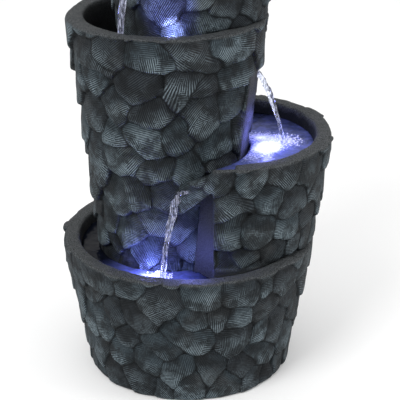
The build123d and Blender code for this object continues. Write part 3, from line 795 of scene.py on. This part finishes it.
# ---- Water ----
def water_material():
    """Pool water: dark and glossy, with froth where a stream lands; a painted glow over the lamps below,
    brightest in a painted hotspot, stands for their light.
    """
    s = Shader("pool_water")
    values = s.node("ShaderNodeAttribute", attribute_name="water")
    split = s.node("ShaderNodeSeparateColor", {"Color": values.outputs["Color"]})
    glow, foam_and_painted_glow, painted_dark_patch = split.outputs[0], split.outputs[1], split.outputs[2]
    fine, coarse = s.noise(330.0, 3.0, 0.7), s.noise(90.0, 3.0)
    bubbles = s.ramp(s.math("ADD", fine, s.math("MULTIPLY", foam_and_painted_glow, 0.55)), 0.62, 0.92)
    bubbles = s.math("MULTIPLY", bubbles, s.ramp(foam_and_painted_glow, 0.02, 0.35))
    # Painted light: the water's own colour turns blue over a lamp below.
    colour = s.mix(glow, rgb(0.003, 0.004, 0.008), rgb(0.11, 0.14, 0.34))
    colour = s.mix(bubbles, colour, rgb(0.50, 0.53, 0.70))
    # Painted glow: the water emits blue over the lamps, whiter in the painted hotspot, and its froth emits
    # too.
    light = s.mix(s.ramp(foam_and_painted_glow, 0.5, 0.98), rgb(0.15, 0.17, 0.75), rgb(0.72, 0.80, 1.0))
    shine = s.math("MULTIPLY", glow, s.math("MULTIPLY_ADD", s.ramp(coarse, 0.4, 0.65), 0.35, 0.04))
    # Painted hotspot: the brightest emission, where the froth value is highest over a lamp.
    painted_hotspot = s.ramp(foam_and_painted_glow, 0.55, 1.0)
    shine = s.math("ADD", shine, s.math("MULTIPLY", bubbles, s.math("MULTIPLY_ADD", painted_hotspot, 1.0, 0.16)))
    # Painted shade: the patch held dark takes no glow.
    shine = s.math("MULTIPLY", shine, s.math("SUBTRACT", 1.0, painted_dark_patch))
    light = s.mix(painted_dark_patch, light, rgb(0.02, 0.02, 0.6))
    waves = s.bump(s.noise(70.0, 3.0), 0.003, 0.5)
    return s.set(Base_Color=colour, Roughness=0.12, Specular_IOR_Level=0.03, Normal=waves,
                 Emission_Color=light, Emission_Strength=shine)


def stream_material():
    """Falling water: clear with white streaks, whose glow is a painted highlight."""
    s = Shader("falling_water")
    streak = s.ramp(s.noise(1.0, 3.0, 0.6, vector=s.stretched(900.0, 900.0, 60.0)), 0.46, 0.64)
    colour = s.mix(streak, rgb(0.42, 0.45, 0.55), rgb(0.90, 0.93, 1.0))
    # The streaks' emission is a painted highlight.
    return s.set(Base_Color=colour, Roughness=0.04, IOR=1.2, Transmission_Weight=0.97,
                 Emission_Color=rgb(0.55, 0.57, 0.75), Emission_Strength=s.math("MULTIPLY", streak, 0.55))


def foam_material():
    """Bubbles: pale and half clear, with a faint glow of the lamp below."""
    s = Shader("foam_and_painted_glow")
    tone = s.mix(s.noise(400.0), rgb(0.6, 0.62, 0.85), rgb(0.95, 0.96, 1.0))
    return s.set(Base_Color=tone, Roughness=0.12, Transmission_Weight=0.3, IOR=1.2,
                 Emission_Color=rgb(0.5, 0.55, 1.0), Emission_Strength=0.15)


POOL_WATER, FALLING_WATER, FOAM = water_material(), stream_material(), foam_material()


def add_water(name, me, material):
    """Water rides on the fountain's body and replaces no CAD node."""
    me.materials.append(material)
    obj = bpy.data.objects.new(name, me)
    bpy.context.scene.collection.objects.link(obj)
    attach(obj, "fountain")


def mesh_of(name, grid):
    """A smooth mesh from a bmesh, which is freed."""
    me = bpy.data.meshes.new(name)
    grid.to_mesh(me)
    grid.free()
    me.polygons.foreach_set("use_smooth", np.ones(len(me.polygons), bool))
    return me


def swell(p, place, reach, narrow=1.0):
    """1 at a place and fading to 0 at its reach, over the plan; narrow shortens the reach along Y."""
    distance = np.hypot(p[0] - place[0], (p[1] - place[1]) * narrow)
    return np.clip(1 - distance / reach, 0, 1)


def add_pool(name, casting, wall, level, outside, values):
    """A sheet of water in a bowl: outside is negative where there is no water, values paint it."""
    radius = casting.radius(level)
    low = np.array([casting.x - radius, casting.y - radius, level - 12])
    high = np.array([casting.x + radius, casting.y + radius, level + 10])
    axes = [np.arange(a, b, POOL_VOXEL, dtype=np.float32) for a, b in zip(low, high)]
    p = np.meshgrid(*axes, indexing="ij")
    ripples = 0.5 * ripple(casting, p, 16, 51) + 0.4 * lattice_noise(p[0] + 500, p[1] + 500, 19, 1000, 52)
    sheet = both(p[2] - level - ripples, level - 7 - p[2])
    field = both(both(sheet, casting.side(p, wall - 1)), -outside(p))
    me = build_mesh(name, *polygonise(field, low, POOL_VOXEL, 0.0))
    points, _ = corner_points(me)
    colours = me.color_attributes.new("water", "FLOAT_COLOR", "CORNER")
    glow, foam_and_painted_glow, painted_dark_patch = values(points)
    data = np.stack([glow, foam_and_painted_glow, painted_dark_patch, np.ones_like(glow)], 1)
    colours.data.foreach_set("color", data.astype(np.float32).ravel())
    add_water(name, me, POOL_WATER)


POOL_VOXEL = 2.5
BASIN_WATER, SECOND_WATER, THIRD_WATER, TOP_WATER = 190.0, 348.0, 462.0, 705.0
BASIN_LAMP, SECOND_LAMP, THIRD_LAMP = (-58, -132), (116, -22), (-24, -110)
BASIN_LANDING, SECOND_LANDING, THIRD_LANDING = (-40, -122), (142, 8), (-96, -70)


def basin_dry(p):
    return either(THIRD.side(p, 1), -left_part(p) + 1)


def second_dry(p):
    return either(THIRD.side(p, 1), left_part(p, FACE_WALL) - 1)


def third_dry(p):
    return TOP.side(p, 1)


def top_dry(p):
    return rod_z(p, RISER_X, RISER_Y, 8.5, 600, 690)


# Each gives three values from 0 to 1 over a pool: the painted glow over a lamp, froth with its painted glow,
# and a patch of unlit water held dark as painted shade.
def basin_values(p):
    # Froth round the landing; the part round the lamp makes a painted glow.
    foam_and_painted_glow = 0.5 * swell(p, BASIN_LANDING, 30) + 0.35 * swell(p, BASIN_LAMP, 36)
    return swell(p, BASIN_LAMP, 95) ** 1.4, np.clip(foam_and_painted_glow, 0, 1), np.zeros_like(foam_and_painted_glow)


def second_values(p):
    # Froth round the landing and two more spots; the strong part round the lamp is a painted hotspot.
    foam_and_painted_glow = 0.7 * swell(p, SECOND_LANDING, 46) + 1.1 * swell(p, SECOND_LAMP, 30)
    foam_and_painted_glow += 0.5 * swell(p, (92, -50), 50) + 0.7 * swell(p, (104, 22), 40)
    # Painted shade: the water along the column's foot is held dark and unlit.
    painted_dark_patch = np.clip(2.5 * swell(p, (80, -6), 26, narrow=1.6), 0, 1)
    return 0.9 * swell(p, SECOND_LAMP, 150), np.clip(foam_and_painted_glow, 0, 1), painted_dark_patch


def third_values(p):
    foam_and_painted_glow = 0.8 * swell(p, THIRD_LANDING, 30)
    return 0.8 * swell(p, THIRD_LAMP, 60), foam_and_painted_glow, np.zeros_like(foam_and_painted_glow)


def top_values(p):
    foam_and_painted_glow = 0.8 * swell(p, (RISER_X, RISER_Y), 40)
    return np.zeros_like(foam_and_painted_glow), foam_and_painted_glow, np.zeros_like(foam_and_painted_glow)


add_pool("basin_pool", BASIN, RIM_WALL, BASIN_WATER, basin_dry, basin_values)
add_pool("second_pool", SECOND, RIM_WALL, SECOND_WATER, second_dry, second_values)
add_pool("third_pool", THIRD, RIM_WALL, THIRD_WATER, third_dry, third_values)
add_pool("top_pool", TOP, TOP_WALL, TOP_WATER, top_dry, top_values)


GRAVITY = 9810.0  # millimetres per second squared
FALL_STEPS, STREAM_SIDES = 44, 18


def falling_path(lead_in, velocity, bottom):
    """Points of water that runs along lead_in and then falls, in millimetres."""
    start = Vector(lead_in[-1])
    points = [Vector(p) for p in lead_in[:-1]]
    vx, vy, vz = velocity
    drop = start.z - bottom
    fall_time = (vz + math.sqrt(vz * vz + 2 * GRAVITY * drop)) / GRAVITY
    for step in range(FALL_STEPS + 1):
        t = fall_time * step / FALL_STEPS
        points.append(start + Vector((vx * t, vy * t, vz * t - GRAVITY / 2 * t * t)))
    return points


def lobes(a, f, phase):
    """How far a stream bulges at angle a, a fraction f of the way down."""
    broad = 0.22 * math.sin(2 * a + 9 * f + phase[0]) + 0.13 * math.sin(3 * a - 14 * f + phase[1])
    fine = 0.12 * math.sin(31 * f + phase[2] + a) + 0.08 * math.sin(67 * f + phase[3] - 2 * a)
    return 1 + broad + fine


def add_stream(name, points, start_radius, end_radius, seed, flat=1.0):
    """A rope of falling water: lobed, twisting, and thinner towards its foot."""
    phase = np.random.default_rng(seed).uniform(0, 6.28, 4)
    grid = bmesh.new()
    rings = []
    for n, point in enumerate(points):
        along = (points[min(n + 1, len(points) - 1)] - points[max(n - 1, 0)]).normalized()
        across = Vector((0, 1, 0)).cross(along).normalized()
        outward = along.cross(across)
        f = n / (len(points) - 1)
        radius = start_radius + (end_radius - start_radius) * f ** 0.6
        ring = []
        for k in range(STREAM_SIDES):
            a = 2 * math.pi * k / STREAM_SIDES
            offset = across * (math.cos(a) * flat) + outward * math.sin(a)
            ring.append(grid.verts.new((point + offset * radius * lobes(a, f, phase)) * MM))
        rings.append(ring)
    for lower, upper in zip(rings, rings[1:]):
        for k in range(STREAM_SIDES):
            following = (k + 1) % STREAM_SIDES
            grid.faces.new((lower[k], lower[following], upper[following], upper[k]))
    grid.faces.new(rings[0][::-1])
    grid.faces.new(rings[-1])
    bmesh.ops.recalc_face_normals(grid, faces=grid.faces)
    add_water(name, mesh_of(name, grid), FALLING_WATER)


def add_foam(name, place, level, reach, count, seed):
    """Bubbles and droplets round a stream's foot, as one mesh."""
    rng = np.random.default_rng(seed)
    grid = bmesh.new()
    for _ in range(count):
        distance, way = reach * rng.uniform(0, 1) ** 0.8, rng.uniform(0, 2 * math.pi)
        radius = rng.uniform(0.7, 2.6) * (1.2 - distance / reach * 0.6)
        height = level + rng.uniform(-0.4, 0.8) * radius
        at = Vector((place[0] + distance * math.cos(way), place[1] + distance * math.sin(way), height)) * MM
        made = bmesh.ops.create_icosphere(grid, subdivisions=1, radius=radius * MM)
        bmesh.ops.translate(grid, verts=made["verts"], vec=at)
    add_water(name, mesh_of(name, grid), FOAM)


TOP_LEAD_IN = [(10, -121, 697), (-30, -127, 692), (-58, -118, 690)]
THIRD_LEAD_IN = [(84, 6, 454), (95, 6, 454), (103, 6, 453)]
SECOND_LEAD_IN = [(34, -146, 336), (14, -143, 333), (-6, -141, 328)]

add_stream("top_stream", falling_path(TOP_LEAD_IN, (-190, 60, 0), THIRD_WATER), 5.5, 3.5, 61)
add_stream("third_stream", falling_path(THIRD_LEAD_IN, (372, 20, -520), SECOND_WATER), 6.0, 3.4, 62, 0.8)
add_stream("second_stream", falling_path(SECOND_LEAD_IN, (-190, 60, -60), BASIN_WATER), 5.0, 4.0, 63)
add_foam("basin_foam", BASIN_LANDING, BASIN_WATER, 22, 90, 71)
add_foam("second_foam", SECOND_LANDING, SECOND_WATER, 30, 160, 72)
add_foam("third_foam", THIRD_LANDING, THIRD_WATER, 18, 60, 73)


# ---- Camera, floor and light ----
CAMERA_PLACE, CAMERA_DIP = (17.6, -1977.0, 1107.0), 23.29
LENS, SENSOR = 129.3, 36.0
GLOW_BLUE, WASH_BLUE, BEAM_BLUE = (0.23, 0.25, 1.0), (0.23, 0.24, 1.0), (0.50, 0.52, 1.0)


def add_camera():
    """The camera looks down at the front by CAMERA_DIP degrees."""
    data = bpy.data.cameras.new("camera")
    data.lens, data.sensor_width = LENS, SENSOR
    data.clip_start, data.clip_end = 0.1, 20.0
    camera = bpy.data.objects.new("camera", data)
    camera.location = Vector(CAMERA_PLACE) * MM
    camera.rotation_euler = (math.radians(90 - CAMERA_DIP), 0, 0)
    bpy.context.scene.collection.objects.link(camera)
    bpy.context.scene.camera = camera


def add_floor():
    me = bpy.data.meshes.new("floor")
    grid = bmesh.new()
    bmesh.ops.create_grid(grid, x_segments=2, y_segments=2, size=6.0)
    grid.to_mesh(me)
    grid.free()
    s = Shader("floor")
    me.materials.append(s.set(Base_Color=rgb(0.9, 0.9, 0.9), Roughness=0.8))
    floor = bpy.data.objects.new("floor", me)
    floor.location.z = -0.0002
    bpy.context.scene.collection.objects.link(floor)


def add_world(strength):
    world = bpy.data.worlds.new("studio")
    world.use_nodes = True
    background = world.node_tree.nodes["Background"]
    background.inputs["Color"].default_value = (1.0, 1.0, 1.0, 1.0)
    background.inputs["Strength"].default_value = strength
    bpy.context.scene.world = world


def place_lamp(name, data, place, target=None):
    """Puts a light at a place in millimetres, turned to its target."""
    lamp = bpy.data.objects.new(name, data)
    lamp.location = Vector(place) * MM
    if target:
        lamp.rotation_euler = (Vector(target) - Vector(place)).to_track_quat("-Z", "Y").to_euler()
    bpy.context.scene.collection.objects.link(lamp)


def add_softbox(name, place, target, size, watts):
    data = bpy.data.lights.new(name, "AREA")
    data.shape, data.size, data.energy = "SQUARE", size * MM, watts
    place_lamp(name, data, place, target)


def add_glow(name, place, watts, radius=10):
    """Soft blue light just over the water, as if it came from below."""
    data = bpy.data.lights.new(name, "POINT")
    data.energy, data.color, data.shadow_soft_size = watts, GLOW_BLUE, radius * MM
    place_lamp(name, data, place)


def add_beam(name, place, target, watts, degrees, colour):
    """Narrow light that stands for a lamp's glow on the stones over a bowl."""
    data = bpy.data.lights.new(name, "SPOT")
    data.energy, data.color, data.shadow_soft_size = watts, colour, 3 * MM
    data.spot_size, data.spot_blend = math.radians(degrees), 0.6
    place_lamp(name, data, place, target)


add_camera()
add_floor()
add_world(1.0)
add_softbox("key", (-1200, -1800, 2400), (0, 0, 350), 1200, 45)
add_softbox("side", (2200, -600, 1200), (0, 0, 350), 800, 12)
add_glow("basin_glow", (*BASIN_LAMP, BASIN_WATER + 11), 0.45)
add_glow("second_glow", (*SECOND_LAMP, SECOND_WATER + 16), 0.16)
add_glow("third_glow", (-24, -114, 545), 0.08, 4)
add_beam("third_beam", (-22, -262, 604), (-19, -109, 554), 27.0, 12, BEAM_BLUE)
add_beam("third_wash", (-60, -262, 640), (-27, -110, 590), 4.0, 30, WASH_BLUE)
add_glow("panel_glow", (4, -148, 226), 0.2, 6)
add_glow("outlet_glow", (112, 4, 385), 0.06, 6)
bpy.context.scene.view_settings.view_transform = "Standard"
